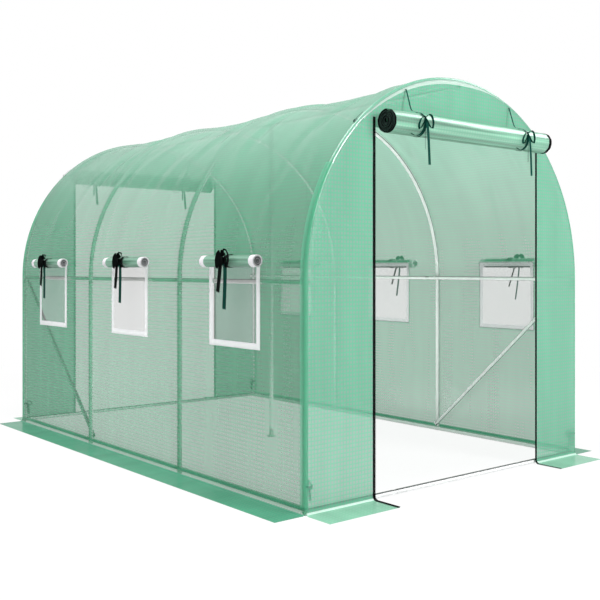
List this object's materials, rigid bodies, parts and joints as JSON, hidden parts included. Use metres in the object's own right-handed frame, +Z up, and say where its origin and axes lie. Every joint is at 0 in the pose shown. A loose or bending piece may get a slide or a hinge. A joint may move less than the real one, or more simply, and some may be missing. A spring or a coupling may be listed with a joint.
{
  "type": "polytunnel greenhouse",
  "caption": "Walk-in polytunnel greenhouse: round tube hoops under a green woven film cover, netted side windows and zipped end doors rolled up, skirts on the ground.",
  "frame": {"origin": "middle of the footprint, on the ground", "axes": "+X to the right seen from the front, +Y along the tunnel to the rear, +Z up"},
  "size_m": [2.32, 3.3996, 2],
  "materials": {
    "galvanised_tube": "galvanised, satin",
    "green_film": "glossy translucent woven film",
    "black_zip": "woven tape with coil teeth",
    "green_ribbon": "woven ribbon",
    "white_border": "brushed woven strip",
    "white_net": "fine open netting"
  },
  "bodies": {
    "root": {"left_hoop_legs": "galvanised_tube", "right_hoop_legs": "galvanised_tube", "front_hoop_arch": "galvanised_tube", "front_middle_hoop_arch": "galvanised_tube", "rear_middle_hoop_arch": "galvanised_tube", "rear_hoop_arch": "galvanised_tube", "ridge_pole": "galvanised_tube", "side_purlins": "galvanised_tube", "side_base_rails": "galvanised_tube", "end_base_rails": "galvanised_tube", "diagonal_braces": "galvanised_tube", "centre_pole": "galvanised_tube", "left_wall_film": "green_film", "right_wall_film": "green_film", "roof_film_1": "green_film", "roof_film_2": "green_film", "roof_film_3": "green_film", "roof_film_4": "green_film", "roof_film_5": "green_film", "roof_film_6": "green_film", "front_wall_left": "green_film", "front_wall_right": "green_film", "front_wall_top": "green_film", "rear_wall_left": "green_film", "rear_wall_right": "green_film", "rear_wall_top": "green_film", "left_skirt": "green_film", "right_skirt": "green_film", "front_skirts": "green_film", "rear_skirts": "green_film", "front_door_roll": "green_film", "rear_door_roll": "green_film", "left_window_rolls": "green_film", "right_window_rolls": "green_film", "door_zips": "black_zip", "front_door_ties": "green_ribbon", "rear_door_ties": "green_ribbon", "left_window_ties": "green_ribbon", "right_window_ties": "green_ribbon", "left_window_borders": "white_border", "right_window_borders": "white_border", "left_window_nets": "white_net", "right_window_nets": "white_net"}
  },
  "joints": []
}
